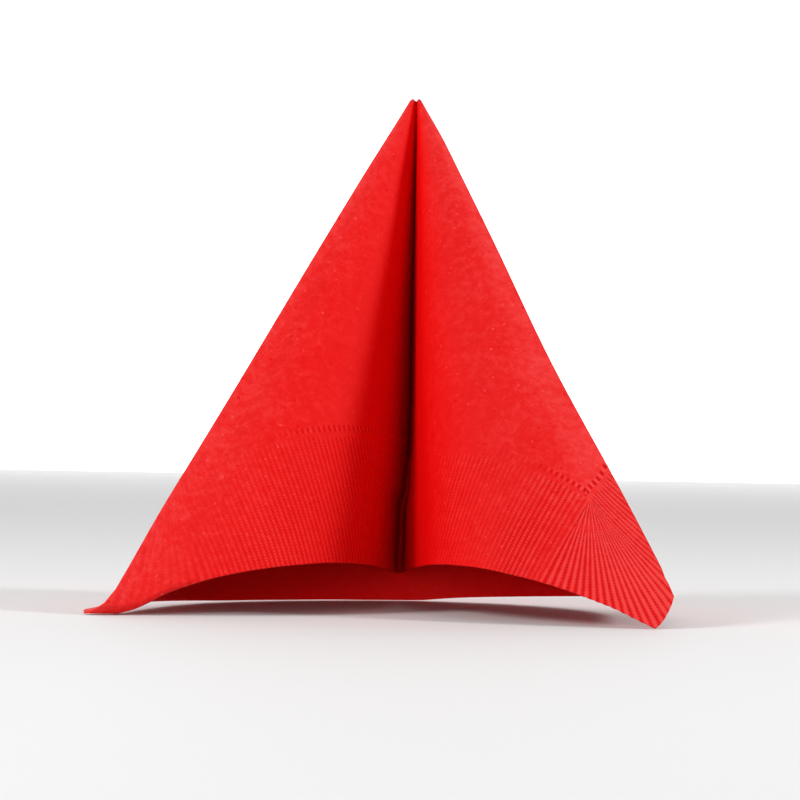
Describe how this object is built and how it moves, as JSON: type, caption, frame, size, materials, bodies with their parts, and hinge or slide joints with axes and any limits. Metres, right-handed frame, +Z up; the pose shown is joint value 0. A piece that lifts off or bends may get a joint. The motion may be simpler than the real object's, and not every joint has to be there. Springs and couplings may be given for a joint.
{
  "type": "paper napkin",
  "caption": "Square embossed tissue napkin folded into a standing pyramid with a deep front pleat and a curved rear wall.",
  "frame": {"origin": "centre of the bounding box in plan, on the table top the napkin stands on", "axes": "+Z up towards the folded point, -Y the side with the deep pleat and the two wings, +X to the right as seen from the front"},
  "size_m": [0.1678, 0.1398, 0.1668],
  "materials": {
    "tissue": "soft matt embossed tissue, dyed red through"
  },
  "bodies": {
    "root": {"napkin": "tissue"}
  },
  "joints": []
}
